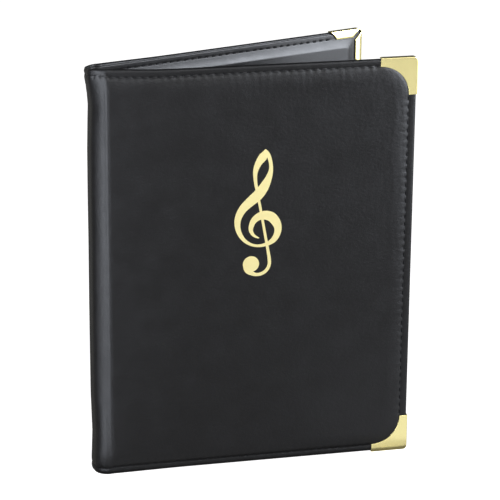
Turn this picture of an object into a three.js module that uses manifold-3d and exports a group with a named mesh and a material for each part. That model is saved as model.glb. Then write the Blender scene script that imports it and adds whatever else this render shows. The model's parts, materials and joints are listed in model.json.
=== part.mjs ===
// A padded leatherette music folder, standing part open on its bottom edge.
// Millimetres and degrees, +Z up. The spine is towards -X, the fore edges towards +X
// and the front cover on the -Y side.
import * as THREE from "three";
import { mergeVertices } from "three/addons/utils/BufferGeometryUtils.js";
import Module from "manifold-3d";

const wasm = await Module();
wasm.setup();

// Overall sizes
const folderHeight = 310;
const coverWidth = 230;
const openingAngle = 19;

// Spine section, seen from above
const spineWidth = 26;
const spineDepth = 10.5;
const spineCornerRadius = 9.3;
const hingeGap = 0.25;

// Sheet goods
const skinThickness = 0.7;
const liningThickness = 0.6;
const boardThickness = 1.5;
const pocketThickness = 0.5;
const seat = 0.15;
const turnInWidth = 12.5;
const liningInset = 2;
const leatherEdgeRadius = 2;

// Padding under the outer skin
const padRise = 2;
const padRoll = 5;
const padInset = 6.8;
const padHingeInset = 4.5;

// Stitching
const stitchInset = 5.8;
const stitchPitch = 6;
const threadWidth = 0.8;
const threadSunk = 0.2;
const threadRise = 0.3;
const threadDip = 0.05;
const needleShare = 0.2; // of a stitch, where the thread climbs out of its needle hole
const stepHalfWidth = 0.28;

// Inside pockets
const pocketHeight = 115;
const pocketHingeInset = 4.5;

// Brass corners
const brassThickness = 0.5;
const brassLeg = 27.5;
const brassArcRadius = 21.8;
const brassCornerRadius = 2.2;
const brassLipWidth = 6.5;
const brassLipSlant = 5;
const brassMitreGap = 0.3;

// Gold foil clef: its middle on the front cover, and the foil itself
const clefFromHinge = 111;
const clefAboveEdge = 197.4;
const foilThickness = 0.1;

// How finely curves are cut into flats
const cornerSegments = 6;
const arcSegments = 40;
const skinRollSegments = 4;
const foamRollSegments = 2;
const strokeFineness = 3;
const strokePieces = 6;

// Levels through a cover, counted inwards from the border's outer face
const boardOuter = skinThickness + seat;
const boardInner = boardOuter + boardThickness;
const turnInOuter = boardInner + seat;
const turnInInner = turnInOuter + skinThickness;
const liningStep = skinThickness + seat;
const liningOuter = turnInInner + seat;
const coverThickness = liningOuter + liningThickness;
const pocketOuter = coverThickness + seat;
const pocketInner = pocketOuter + pocketThickness;

// Levels through the soft spine, which has no board
const spineLiningOuter = skinThickness + seat;
const spineLiningInner = spineLiningOuter + liningThickness;
const spineTurnIn = spineLiningInner + seat;
const spineThickness = spineTurnIn + skinThickness;

const halfAngle = THREE.MathUtils.degToRad(openingAngle / 2);
const leatherMargin = brassThickness + seat;
const coverBottom = leatherMargin;
const coverTop = folderHeight - leatherMargin;
const pocketTop = coverBottom + pocketHeight;
const grooveDepth = threadSunk + seat;
const grooveHalfWidth = threadWidth / 2 + seat;
const padCornerRadius = brassArcRadius - (padInset - (brassLeg - leatherMargin - brassArcRadius));
const past = 5; // how far a cut runs past the faces it opens

// Materials
const leatherette = new THREE.MeshStandardMaterial({ color: 0x17181a, roughness: 0.42 });
const liningLeatherette = new THREE.MeshStandardMaterial({ color: 0x1a1b1d, roughness: 0.5 });
const greyboard = new THREE.MeshStandardMaterial({ color: 0x8c8578, roughness: 0.95 });
const paddingFoam = new THREE.MeshStandardMaterial({ color: 0xd9d4c4, roughness: 1 });
const blackThread = new THREE.MeshStandardMaterial({ color: 0x0e0e10, roughness: 0.7 });
const brass = new THREE.MeshStandardMaterial({ color: 0xd8c67e, roughness: 0.22, metalness: 1 });
const goldFoil = new THREE.MeshStandardMaterial({ color: 0xf3e2a2, roughness: 0.35, metalness: 0.6 });

// Turns a closed geometry into a solid that can be joined and cut.
function solid(geometry) {
  const bare = geometry.index ? geometry.toNonIndexed() : geometry;
  bare.deleteAttribute("normal");
  bare.deleteAttribute("uv");
  const merged = mergeVertices(bare, 1e-4);
  const shell = new wasm.Mesh({
    numProp: 3,
    vertProperties: merged.attributes.position.array,
    triVerts: new Uint32Array(merged.index.array),
  });
  return new wasm.Manifold(shell);
}

function namedMesh(name, body, material) {
  const shell = body.getMesh();
  const geometry = new THREE.BufferGeometry();
  geometry.setAttribute("position", new THREE.BufferAttribute(shell.vertProperties, 3));
  geometry.setIndex(new THREE.BufferAttribute(shell.triVerts, 1));
  geometry.computeVertexNormals();
  const mesh = new THREE.Mesh(geometry, material);
  mesh.name = name;
  return mesh;
}

function joined(bodies) {
  return bodies.reduce((all, body) => all.add(body));
}

function cutFrom(body, tools) {
  return tools.reduce((left, tool) => left.subtract(tool), body);
}

// A rectangle from left to right and low to high, with one radius at the hinge side
// and one at the fore edge side.
function panelOutline(left, right, low, high, hingeRadius, foreRadius) {
  const outline = new THREE.Shape();
  outline.moveTo(left + hingeRadius, low);
  outline.lineTo(right - foreRadius, low);
  if (foreRadius) outline.absarc(right - foreRadius, low + foreRadius, foreRadius, -Math.PI / 2, 0);
  outline.lineTo(right, high - foreRadius);
  if (foreRadius) outline.absarc(right - foreRadius, high - foreRadius, foreRadius, 0, Math.PI / 2);
  outline.lineTo(left + hingeRadius, high);
  if (hingeRadius) {
    outline.absarc(left + hingeRadius, high - hingeRadius, hingeRadius, Math.PI / 2, Math.PI);
  }
  outline.lineTo(left, low + hingeRadius);
  if (hingeRadius) {
    outline.absarc(left + hingeRadius, low + hingeRadius, hingeRadius, Math.PI, Math.PI * 1.5);
  }
  return outline;
}

// The cover's outline moved in from its three free edges; it starts at left.
function coverOutline(inset, left, foreRadius = 0) {
  const right = coverWidth - inset;
  return panelOutline(left, right, coverBottom + inset, coverTop - inset, 0, foreRadius);
}

// A flat layer with the given outline across the cover, from one level to a deeper one.
function layer(outline, outer, inner, curveSegments = cornerSegments) {
  const options = { depth: inner - outer, bevelEnabled: false, curveSegments };
  const geometry = new THREE.ExtrudeGeometry(outline, options);
  geometry.rotateX(Math.PI / 2);
  geometry.translate(0, inner, 0);
  return solid(geometry);
}

// The padding's raised form: a rounded panel whose edges roll down to the border.
// The shrink takes the same distance off its outline and its crown.
function padForm(shrink, base, rollSegments) {
  const rise = padRise - shrink;
  const outline = panelOutline(
    padHingeInset + shrink,
    coverWidth - padInset - shrink,
    coverBottom + padInset + shrink,
    coverTop - padInset - shrink,
    padRoll + 1,
    padCornerRadius - shrink,
  );
  const options = {
    depth: base,
    bevelThickness: rise,
    bevelSize: padRoll - shrink,
    bevelOffset: shrink - padRoll,
    bevelSegments: rollSegments,
    curveSegments: cornerSegments,
  };
  const geometry = new THREE.ExtrudeGeometry(outline, options);
  geometry.rotateX(Math.PI / 2);
  geometry.translate(0, base, 0);
  const behind = layer(coverOutline(-past, -past), base, base + rise + past);
  return solid(geometry).subtract(behind);
}

// The sunk line that the thread lies in, along the three free edges.
function stitchGroove(outer, inner) {
  const around = coverOutline(stitchInset - grooveHalfWidth, -past);
  const within = coverOutline(stitchInset + grooveHalfWidth, -2 * past);
  return layer(around, outer, inner).subtract(layer(within, outer - past, inner + past));
}

function coverSkin() {
  const wrap = layer(coverOutline(0, hingeGap, leatherEdgeRadius), 0, turnInInner);
  const boardSpace = layer(
    coverOutline(skinThickness, -past, leatherEdgeRadius - skinThickness),
    skinThickness,
    turnInOuter,
  );
  const window = layer(coverOutline(turnInWidth, -past), boardInner, turnInInner + past);
  const padded = wrap.add(padForm(0, boardOuter, skinRollSegments));
  const foamSpace = padForm(skinThickness, boardOuter, foamRollSegments);
  const groove = stitchGroove(-past, grooveDepth);
  return cutFrom(padded, [boardSpace, window, foamSpace, groove]);
}

function coverFoam() {
  return padForm(skinThickness + seat, skinThickness, foamRollSegments);
}

function coverBoard() {
  const inset = skinThickness + seat;
  return layer(coverOutline(inset, padHingeInset, leatherEdgeRadius - inset), boardOuter, boardInner);
}

// The lining lies over the turned-in skin round the border and steps down to the board.
function coverLining() {
  const edge = layer(coverOutline(liningInset, hingeGap), liningOuter - liningStep, coverThickness);
  const within = turnInWidth + seat;
  const underBorder = layer(coverOutline(-past, -past), 0, liningOuter);
  const overBoard = layer(coverOutline(within, -2 * past), -past, liningOuter + past);
  const dropped = layer(
    coverOutline(within + liningThickness, -past),
    coverThickness - liningStep,
    coverThickness + past,
  );
  const groove = stitchGroove(coverThickness - grooveDepth, coverThickness + past);
  return cutFrom(edge, [underBorder.subtract(overBoard), dropped, groove]);
}

function coverPocket() {
  const outline = panelOutline(
    pocketHingeInset,
    coverWidth - liningInset,
    coverBottom + liningInset,
    pocketTop,
    0,
    0,
  );
  const groove = stitchGroove(pocketInner - grooveDepth, pocketInner + past);
  return layer(outline, pocketOuter, pocketInner).subtract(groove);
}

// The side view of a straight row of stitches: low at each needle hole and raised
// between them, from firstStitch to lastStitch, and low beyond them.
function stitchRow(length, firstStitch, lastStitch) {
  const count = Math.round((lastStitch - firstStitch) / stitchPitch);
  const pitch = (lastStitch - firstStitch) / count;
  const ramp = pitch * needleShare;
  const side = new THREE.Shape();
  side.moveTo(0, -threadSunk);
  side.lineTo(length, -threadSunk);
  side.lineTo(length, -threadDip);
  for (let i = count; i > 0; i -= 1) {
    const end = firstStitch + i * pitch;
    side.lineTo(end, -threadDip);
    side.lineTo(end - ramp, threadRise);
    side.lineTo(end - pitch + ramp, threadRise);
  }
  side.lineTo(firstStitch, -threadDip);
  side.lineTo(0, -threadDip);
  const geometry = new THREE.ExtrudeGeometry(side, { depth: threadWidth, bevelEnabled: false });
  return geometry.translate(0, 0, -threadWidth / 2);
}

// Lays a row of stitches from a point, along one direction and standing up in another.
function laidRow(geometry, start, along, up) {
  const across = new THREE.Vector3().crossVectors(along, up);
  const place = new THREE.Matrix4().makeBasis(along, up, across).setPosition(start);
  return solid(geometry.applyMatrix4(place));
}

const alongCover = new THREE.Vector3(1, 0, 0);
const upCover = new THREE.Vector3(0, 0, 1);
const outwards = new THREE.Vector3(0, -1, 0);
const inwards = new THREE.Vector3(0, 1, 0);

const stitchLow = coverBottom + stitchInset;
const stitchHigh = coverTop - stitchInset;
const stitchFore = coverWidth - stitchInset;
const brassStart = coverWidth + leatherMargin - brassLeg;
const brassReach = brassLeg - leatherMargin;
const seamCrossing = (threadWidth / 2 + grooveHalfWidth) / 2;

// A row across the cover at one height, with its stitches as far as the brass. It ends in
// the middle of the row up the fore edge.
function acrossRow(left, height, level, up) {
  const start = new THREE.Vector3(left, level, height);
  const row = stitchRow(stitchFore - left, 0, brassStart - left);
  return laidRow(row, start, alongCover, up);
}

// A row up the fore edge between two heights, with stitches between the two brass corners.
function foreRow(low, high, firstStitch, lastStitch, level, up) {
  const start = new THREE.Vector3(stitchFore, level, low);
  const row = stitchRow(high - low, firstStitch - low, lastStitch - low);
  return laidRow(row, start, upCover, up);
}

function outerStitching() {
  const low = stitchLow - seamCrossing;
  const high = stitchHigh + seamCrossing;
  return joined([
    acrossRow(hingeGap, stitchHigh, 0, outwards),
    foreRow(low, high, coverBottom + brassReach, coverTop - brassReach, 0, outwards),
    acrossRow(hingeGap, stitchLow, 0, outwards),
  ]);
}

// A short stand of thread between the lining's level and the pocket's, a little finer than
// the rows that it joins and sunk a little into both.
function threadStep(left, right, low, high) {
  const outline = panelOutline(left, right, low, high, 0, 0);
  return layer(outline, coverThickness - threadSunk / 2, pocketInner);
}

// The inner thread passes over the pocket, so its lower rows lie a level higher than its
// upper ones, with a step at the pocket's mouth.
function innerStitching() {
  const low = stitchLow - seamCrossing;
  const high = stitchHigh + seamCrossing;
  const mouth = pocketTop + seat;
  const aboveMouth = mouth + threadWidth;
  const lowerEnd = aboveMouth + stepHalfWidth;
  const stepLeft = stitchFore - stepHalfWidth;
  const stepRight = stitchFore + stepHalfWidth;
  return joined([
    acrossRow(hingeGap, stitchHigh, coverThickness, inwards),
    foreRow(mouth, high, aboveMouth, coverTop - brassReach, coverThickness, inwards),
    threadStep(stepLeft, stepRight, mouth + stepHalfWidth, aboveMouth),
    foreRow(low, lowerEnd, coverBottom + brassReach, aboveMouth, pocketInner, inwards),
    acrossRow(pocketHingeInset, stitchLow, pocketInner, inwards),
  ]);
}

// A stamped corner in its own frame: the outer corner is at the origin, the leather lies
// towards -X and -Z, and the stack is the thickness of what the corner clasps.
function brassCorner(stack) {
  const outerFace = -seat - brassThickness;
  const innerFace = stack + seat + brassThickness;
  const shell = layer(cornerOutline(0, -brassLeg), outerFace, innerFace);
  const space = layer(cornerOutline(brassThickness, -brassLeg - past), -seat, stack + seat);
  const arc = new THREE.Shape().absarc(-brassLeg, -brassLeg, brassArcRadius, 0, Math.PI * 2);
  const arcCut = layer(arc, outerFace - past, stack / 2, arcSegments);
  const lipEnd = -brassLeg + brassLipSlant;
  const beyondLeg = -brassLeg - brassLipSlant * (past / brassLipWidth);
  const window = new THREE.Shape();
  window.moveTo(-brassLeg - past, -brassLeg - past);
  window.lineTo(past, -brassLeg - past);
  window.lineTo(past, beyondLeg);
  window.lineTo(-brassLipWidth, lipEnd);
  window.lineTo(-brassLipWidth, -brassLipWidth);
  window.lineTo(lipEnd, -brassLipWidth);
  window.lineTo(beyondLeg, past);
  window.lineTo(-brassLeg - past, past);
  const lipCut = layer(window, stack / 2, innerFace + past);
  const mitreReach = -brassLipWidth * Math.SQRT2 - brassMitreGap;
  const mitreSlit = panelOutline(
    mitreReach,
    -brassThickness,
    -brassMitreGap / 2,
    brassMitreGap / 2,
    0,
    0,
  );
  const mitre = layer(mitreSlit, stack, innerFace + past).rotate([0, -45, 0]);
  return cutFrom(shell, [space, arcCut, lipCut, mitre]);
}

// A square corner at the origin with the brass corner's rounding, moved in all round.
function cornerOutline(inset, left) {
  const radius = brassCornerRadius - inset;
  const outline = new THREE.Shape();
  outline.moveTo(left, left);
  outline.lineTo(-inset, left);
  outline.lineTo(-inset, -inset - radius);
  outline.absarc(-inset - radius, -inset - radius, radius, 0, Math.PI / 2);
  outline.lineTo(left, -inset);
  return outline;
}

// The spine's section from hinge to hinge at one depth below its outer face: a short leg in
// line with each cover, two round corners and a flat back.
function spinePath(depth) {
  const radius = spineCornerRadius - depth;
  const centreX = -spineDepth + spineCornerRadius;
  const leg = (spineCornerRadius * Math.sin(halfAngle) - centreX) / Math.cos(halfAngle);
  const centreY =
    -spineWidth / 2 + spineCornerRadius * Math.cos(halfAngle) + leg * Math.sin(halfAngle);
  const startX = depth * Math.sin(halfAngle) - hingeGap * Math.cos(halfAngle);
  const startY = -spineWidth / 2 + depth * Math.cos(halfAngle) + hingeGap * Math.sin(halfAngle);
  const turn = Math.PI / 2 + halfAngle;
  const path = new THREE.Path();
  path.moveTo(startX, startY);
  path.lineTo(centreX + radius * Math.cos(turn), centreY - radius * Math.sin(turn));
  path.absarc(centreX, centreY, radius, -turn, -Math.PI, true);
  path.absarc(centreX, -centreY, radius, Math.PI, turn, true);
  path.lineTo(startX, -startY);
  return path;
}

// A band of the spine between two depths and two heights.
function spineBand(outer, inner, low, high) {
  const outside = spinePath(outer).getPoints(cornerSegments);
  const inside = spinePath(inner).getPoints(cornerSegments);
  const section = new THREE.Shape(outside.concat(inside.reverse()));
  const options = { depth: high - low, bevelEnabled: false };
  const geometry = new THREE.ExtrudeGeometry(section, options);
  return solid(geometry.translate(0, 0, low));
}

function spineSkin() {
  const wrap = spineBand(0, spineThickness, 0, folderHeight);
  const liningSpace = spineBand(
    skinThickness,
    spineTurnIn,
    skinThickness,
    folderHeight - skinThickness,
  );
  const window = spineBand(
    spineLiningInner,
    spineThickness + seat,
    turnInWidth,
    folderHeight - turnInWidth,
  );
  const grooves = [stitchLow, stitchHigh].flatMap((height) => {
    const low = height - grooveHalfWidth;
    const high = height + grooveHalfWidth;
    return [
      spineBand(-seat, grooveDepth, low, high),
      spineBand(spineThickness - grooveDepth, spineThickness + seat, low, high),
    ];
  });
  return cutFrom(wrap, [liningSpace, window, ...grooves]);
}

function spineLining() {
  const rim = skinThickness + seat;
  return spineBand(spineLiningOuter, spineLiningInner, rim, folderHeight - rim);
}

// A row of stitches round the spine at one height. The face is the depth of the surface
// it lies on, and outside says whether that surface faces out or in.
function spineStitching(height, face, outside) {
  const sign = outside ? -1 : 1;
  const base = spinePath(face);
  const count = Math.round(base.getLength() / stitchPitch);
  const marks = [[0, -threadDip]];
  for (let i = 0; i < count; i += 1) {
    for (const share of [needleShare, 1 / 2, 1 - needleShare]) {
      marks.push([(i + share) / count, threadRise]);
    }
    marks.push([(i + 1) / count, -threadDip]);
  }
  const lifted = marks.map(([share, rise]) => pointOff(base, share, sign * rise));
  const sunk = marks.map(([share]) => pointOff(base, share, -sign * threadSunk));
  const section = new THREE.Shape(lifted.concat(sunk.reverse()));
  const options = { depth: threadWidth, bevelEnabled: false };
  const geometry = new THREE.ExtrudeGeometry(section, options);
  return solid(geometry.translate(0, 0, height - threadWidth / 2));
}

// The point at a share of a path's length, moved off the path towards the spine's inside.
function pointOff(path, share, distance) {
  const point = path.getPointAt(share);
  const tangent = path.getTangentAt(share);
  return new THREE.Vector2(point.x + tangent.y * distance, point.y - tangent.x * distance);
}

// The clef's two pen strokes: each row is across, up and width, from the clef's middle.
const spiralStroke = [
  [1.2, -18.4, 0.5],
  [0.3, -18.2, 1.1],
  [-3.4, -15.8, 2.2],
  [-5.2, -11.7, 3.2],
  [-3.7, -5.9, 4.4],
  [-0.6, -2.7, 5.4],
  [3.8, -1.1, 6.5],
  [9.7, -2.4, 7.2],
  [13.6, -6.8, 6.7],
  [15.2, -11.2, 5.6],
  [14.8, -15.5, 5],
  [12.7, -19.7, 4.5],
  [9.9, -22.1, 3.7],
  [6.8, -23.5, 2.9],
  [2.2, -24.4, 2.2],
  [-3, -23.9, 2],
  [-9, -20.6, 2.5],
  [-13.4, -14.8, 3.4],
  [-15.2, -8.2, 4.2],
  [-14.7, -2.2, 5.1],
  [-11.3, 4.4, 6.2],
  [-5.8, 9.7, 7.3],
  [0.1, 14.7, 8],
  [4.7, 20.8, 7.1],
  [8.2, 28, 4.6],
  [9.6, 33.6, 3.1],
  [9.3, 38.5, 2.7],
  [8.2, 42.8, 2.9],
  [6.9, 46.2, 2.3],
  [5.4, 49, 0.3],
];
const stemStroke = [
  [5.3, 48.8, 0.4],
  [3.9, 43.9, 6.4],
  [0.7, 39.5, 5.3],
  [-1.5, 34.6, 4.1],
  [-2.2, 29.7, 3],
  [-1.8, 24, 2.5],
  [-0.7, 17.6, 2.2],
  [2.2, 2.5, 1.9],
  [6.7, -22.2, 2.1],
  [7.9, -28.8, 2.2],
  [8.9, -35.4, 2.5],
  [8.9, -39.4, 2.5],
  [7.6, -42.7, 2.6],
  [5.3, -45.1, 2.6],
  [2.5, -46.4, 2.5],
  [-1, -46.7, 2.5],
  [-4.2, -45.5, 3.4],
  [-7.1, -43.3, 4.5],
  [-8.6, -40.3, 4.3],
  [-8, -38.2, 3.7],
];
const clefBall = { across: -4.9, up: -38.3, radius: 6.1 };

// A stroke of changing width: a smooth line through the rows, offset to both sides by half
// the width, which runs smoothly between the rows too.
function strokeOutline(rows) {
  const line = new THREE.CatmullRomCurve3(
    rows.map(([across, up, width]) => new THREE.Vector3(across, up, width)),
  );
  const steps = rows.length * strokeFineness;
  const points = line.getPoints(steps);
  const sides = points.map((point, i) => {
    const tangent = line.getTangent(i / steps);
    const length = Math.hypot(tangent.x, tangent.y);
    const reach = point.z / 2 / length;
    return [-tangent.y * reach, tangent.x * reach];
  });
  const left = points.map((p, i) => new THREE.Vector2(p.x + sides[i][0], p.y + sides[i][1]));
  const right = points.map((p, i) => new THREE.Vector2(p.x - sides[i][0], p.y - sides[i][1]));
  return [left, right];
}

// The stroke's foil, joined from short pieces that meet end to end so that it may cross
// itself.
function strokeFoil(rows, outer, inner) {
  const [left, right] = strokeOutline(rows);
  const pieces = [];
  const span = Math.ceil(left.length / strokePieces);
  for (let i = 0; i < left.length - 1; i += span) {
    const end = Math.min(i + span + 1, left.length);
    const outline = left.slice(i, end).concat(right.slice(i, end).reverse());
    pieces.push(layer(new THREE.Shape(outline.reverse()), outer, inner));
  }
  return joined(pieces);
}

function clefFoil() {
  const inner = -padRise - seat;
  const outer = inner - foilThickness;
  const { across, up, radius } = clefBall;
  const ball = new THREE.Shape().absarc(across, up, radius, 0, Math.PI * 2);
  return joined([
    strokeFoil(spiralStroke, outer, inner),
    strokeFoil(stemStroke, outer, inner),
    layer(ball, outer, inner, arcSegments),
  ]);
}

// One cover with what it carries, in its own frame: hinge line at the origin, fore edge
// towards +X, inside towards +Y.
function cover(name) {
  const group = new THREE.Group();
  const top = namedMesh(name + "_top_corner", brassCorner(coverThickness), brass);
  top.position.set(coverWidth + leatherMargin, 0, folderHeight);
  const bottom = namedMesh(name + "_bottom_corner", brassCorner(pocketInner), brass);
  bottom.position.set(coverWidth + leatherMargin, 0, 0);
  bottom.scale.z = -1;
  group.add(
    namedMesh(name + "_cover_skin", coverSkin(), leatherette),
    namedMesh(name + "_cover_foam", coverFoam(), paddingFoam),
    namedMesh(name + "_cover_board", coverBoard(), greyboard),
    namedMesh(name + "_cover_lining", coverLining(), liningLeatherette),
    namedMesh(name + "_pocket", coverPocket(), liningLeatherette),
    namedMesh(name + "_outer_stitching", outerStitching(), blackThread),
    namedMesh(name + "_inner_stitching", innerStitching(), blackThread),
    top,
    bottom,
  );
  return group;
}

function frontCover() {
  const group = cover("front");
  const clef = namedMesh("treble_clef_foil", clefFoil(), goldFoil);
  clef.position.set(clefFromHinge, 0, coverBottom + clefAboveEdge);
  group.add(clef);
  group.position.y = -spineWidth / 2;
  group.rotation.z = -halfAngle;
  return group;
}

// The back cover is the front one's mirror image.
function backCover() {
  const group = cover("back");
  group.position.y = spineWidth / 2;
  group.rotation.z = halfAngle;
  group.scale.y = -1;
  return group;
}

function spine() {
  const group = new THREE.Group();
  group.add(
    namedMesh("spine_skin", spineSkin(), leatherette),
    namedMesh("spine_lining", spineLining(), liningLeatherette),
  );
  const rows = { top: stitchHigh, bottom: stitchLow };
  for (const [end, height] of Object.entries(rows)) {
    const outer = spineStitching(height, 0, true);
    const inner = spineStitching(height, spineThickness, false);
    group.add(
      namedMesh("spine_" + end + "_outer_stitching", outer, blackThread),
      namedMesh("spine_" + end + "_inner_stitching", inner, blackThread),
    );
  }
  return group;
}

// The folder stands with the middle of its plan at the origin.
const folder = new THREE.Group();
folder.add(spine(), frontCover(), backCover());
folder.updateMatrixWorld(true);
const extent = new THREE.Box3().setFromObject(folder, true);
folder.position.x = -(extent.min.x + extent.max.x) / 2;

export default folder;
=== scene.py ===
"""A padded leatherette music folder, standing part open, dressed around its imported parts.

All sizes are in millimetres and become metres when a mesh is made. A cover has its own
coordinates: u runs from the hinge line to the fore edge, v inwards from the border's outer
face and z upwards. The back cover is the front one mirrored in Y.
"""

import json
import math

import bmesh
import bpy
import numpy as np
from mathutils import Matrix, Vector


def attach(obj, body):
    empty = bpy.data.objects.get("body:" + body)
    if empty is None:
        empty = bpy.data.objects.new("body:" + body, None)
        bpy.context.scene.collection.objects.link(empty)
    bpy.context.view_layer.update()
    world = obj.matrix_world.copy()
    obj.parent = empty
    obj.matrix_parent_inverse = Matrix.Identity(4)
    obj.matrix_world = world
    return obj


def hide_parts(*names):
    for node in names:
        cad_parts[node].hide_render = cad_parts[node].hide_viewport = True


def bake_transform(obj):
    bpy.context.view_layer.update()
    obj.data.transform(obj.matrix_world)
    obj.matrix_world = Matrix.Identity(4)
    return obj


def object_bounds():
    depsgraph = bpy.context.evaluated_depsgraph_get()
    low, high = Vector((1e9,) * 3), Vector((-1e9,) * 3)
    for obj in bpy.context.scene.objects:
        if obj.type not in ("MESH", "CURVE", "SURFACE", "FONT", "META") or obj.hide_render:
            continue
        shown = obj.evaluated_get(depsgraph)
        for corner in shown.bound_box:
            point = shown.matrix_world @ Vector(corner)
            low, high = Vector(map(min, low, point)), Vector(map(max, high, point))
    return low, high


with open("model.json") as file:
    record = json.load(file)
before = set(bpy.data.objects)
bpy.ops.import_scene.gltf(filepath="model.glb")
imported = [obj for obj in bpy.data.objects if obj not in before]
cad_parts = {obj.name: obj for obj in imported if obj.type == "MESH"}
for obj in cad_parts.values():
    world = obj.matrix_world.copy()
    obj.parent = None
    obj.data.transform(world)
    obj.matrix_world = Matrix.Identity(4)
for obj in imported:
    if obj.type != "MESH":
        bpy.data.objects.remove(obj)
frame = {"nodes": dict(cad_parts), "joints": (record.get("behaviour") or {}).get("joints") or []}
cad_low, cad_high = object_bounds()

MM = 0.001
NODES = frame["nodes"]
HINGE = next(j for j in frame["joints"] if j["name"] == "front_hinge")

# Frame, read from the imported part
HINGE_X = HINGE["pos_m"][0] / MM
HINGE_Y = abs(HINGE["pos_m"][1]) / MM
COVER_TURN = math.radians(-HINGE["range_deg"][0])
FOLDER_TOP = cad_high[2] / MM

# Cover
COVER_WIDTH = 230.0
BRASS_MARGIN = 0.65
COVER_LOW = BRASS_MARGIN
COVER_HIGH = FOLDER_TOP - BRASS_MARGIN
MIDDLE_HEIGHT = FOLDER_TOP / 2
BORDER_THICKNESS = 3.2
COVER_THICKNESS = 3.95
SKIN = 0.7
TURN_IN = 12.5
EDGE_CORNER = 2.0

# Stitching
STITCH_INSET = 5.8
ROW_INSET = 5.1
STITCH_PITCH = 6.0
COVER_STITCH = 3.3, 0.42
INNER_STITCH = 3.4, 0.62
SPINE_STITCH = 4.8, 0.26
GROOVE_DEPTH = 0.1
TROUGH_DEPTH = 0.42
GROOVE_WIDTH = 0.75
INNER_GROOVE_DEPTH = 0.06
INNER_TROUGH_DEPTH = 0.3
STITCH_ARCH = 0.34
STITCH_SINK = 0.3
STITCH_LEVEL = 0.45

# Padding
PAD_RISE = 2.0
PAD_ROLL = 12.0
PAD_CORNER_CENTRE = 27.5
SHOULDER_REACH = 3.0
SHOULDER_SHARE = 0.28
SLACK_DEPTH = 0.09
PUCKER_REACH = 2.6
PUCKER_DEPTH = 0.52
WRINKLE_DEPTH = 0.05
WRINKLE_LENGTH = 5.3
WRINKLE_REACH = 13.0
SPINE_PAD_SHARE = 0.6
BORDER_LIFT = 0.1
HEM_BULGE = 0.22
FOAM_START = 4.6
FOAM_INSET = 1.2
FOAM_TAPER = 24.0

# Spine section, seen from above
SPINE_DEPTH = 10.2
SPINE_THICKNESS = 1.6
FOLD_LENGTH = 2.0
FOLD_START = 1.4
UPPER_TURNS = math.radians(24), math.radians(46)
UPPER_CORNER = 4.5
LOWER_TURNS = math.radians(11), math.radians(38)
LOWER_CORNER = 9.0
LOWER_UP_TO = 20.0
UPPER_DOWN_TO = 80.0
SEAM_FROM_HINGE = 6.0
SPINE_SEAM_SHIFT = 0.9
TOP_LIFT = 1.7

# Lining and pocket
LINING_INSET = 1.3
LINING = 0.6
LINING_STEP = 0.85
LINING_SWELL = 1.6
LINING_BULK = 0.15
LINING_FALL = 26.0
LINING_ROUND = 0.7
LINING_TUCK = 0.12
CORNER_EASE = 1.5
POCKET_HEIGHT = 115.0
POCKET_HINGE_INSET = 4.5
POCKET = 0.5
POCKET_GAP = 0.15
POCKET_BOW = 1.1
POCKET_HEM = 0.28
POCKET_HEM_WIDTH = 9.2
POCKET_ROUND = 0.4

# Brass corners
BRASS = 0.5
BRASS_LEG = 28.3
BRASS_ARC = 21.8
BRASS_OUTER_CORNER = 3.2
BRASS_BEND = 0.28
BRASS_CLEARANCE = 0.15
LIP_WIDTH = 6.5
LIP_SLANT = 5.0
LIP_CROWN = 0.5
LIP_EDGE = 1.6
LIP_START = 1.5
MITRE_GAP = 2.0
RIM_ROUND = 0.35
NARROWEST_LIP = 0.05
LIP_END = 0.2
CROWDING = 1.6

# Foil
FOIL_TOP = 0.07
FOIL_FOOT = -0.03

# Colours: each finish varies between two
LEATHER = (0.0048, 0.0048, 0.0056), (0.0078, 0.0078, 0.0092)
LINING_BLACK = (0.009, 0.009, 0.010), (0.016, 0.016, 0.018)
THREAD = (0.002, 0.002, 0.003), (0.006, 0.006, 0.007)
FOAM = (0.62, 0.6, 0.52), (0.72, 0.7, 0.62)
BOARD = (0.24, 0.22, 0.19), (0.34, 0.31, 0.27)
FOIL = (1.0, 0.86, 0.39), (1.0, 0.91, 0.45)
BRASS_YELLOW = (0.635, 0.565, 0.26), (0.69, 0.615, 0.3)

STITCH_LOW = COVER_LOW + ROW_INSET
STITCH_HIGH = COVER_HIGH - ROW_INSET
STITCH_FORE = COVER_WIDTH - STITCH_INSET
BRASS_START = COVER_WIDTH + BRASS_MARGIN - BRASS_LEG
FORE_ROW_LOW = COVER_LOW + BRASS_LEG - BRASS_MARGIN
FORE_ROW_HIGH = COVER_HIGH - BRASS_LEG + BRASS_MARGIN


def smooth(low, high, value):
    """0 below low, 1 above high, and a smooth S curve between them."""
    share = np.clip((value - low) / (high - low), 0, 1)
    return share * share * (3 - 2 * share)


def level_off(value, reach):
    """A parabola that rises from 0 and is level, at 1, from the reach on."""
    return 1 - (1 - np.clip(value / reach, 0, 1)) ** 2


def rounded_rim(distance, radius):
    """The half thickness near a rounded rim, as a share: a quarter circle."""
    return np.sqrt(level_off(distance, radius))


def spread(*stops):
    """Sample places from stop to stop: each later stop is (place, step before it)."""
    places = [np.array([stops[0]], float)]
    start = stops[0]
    for end, step in stops[1:]:
        count = max(1, round(abs(end - start) / step))
        places.append(np.linspace(start, end, count + 1)[1:])
        start = end
    return np.concatenate(places)


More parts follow.
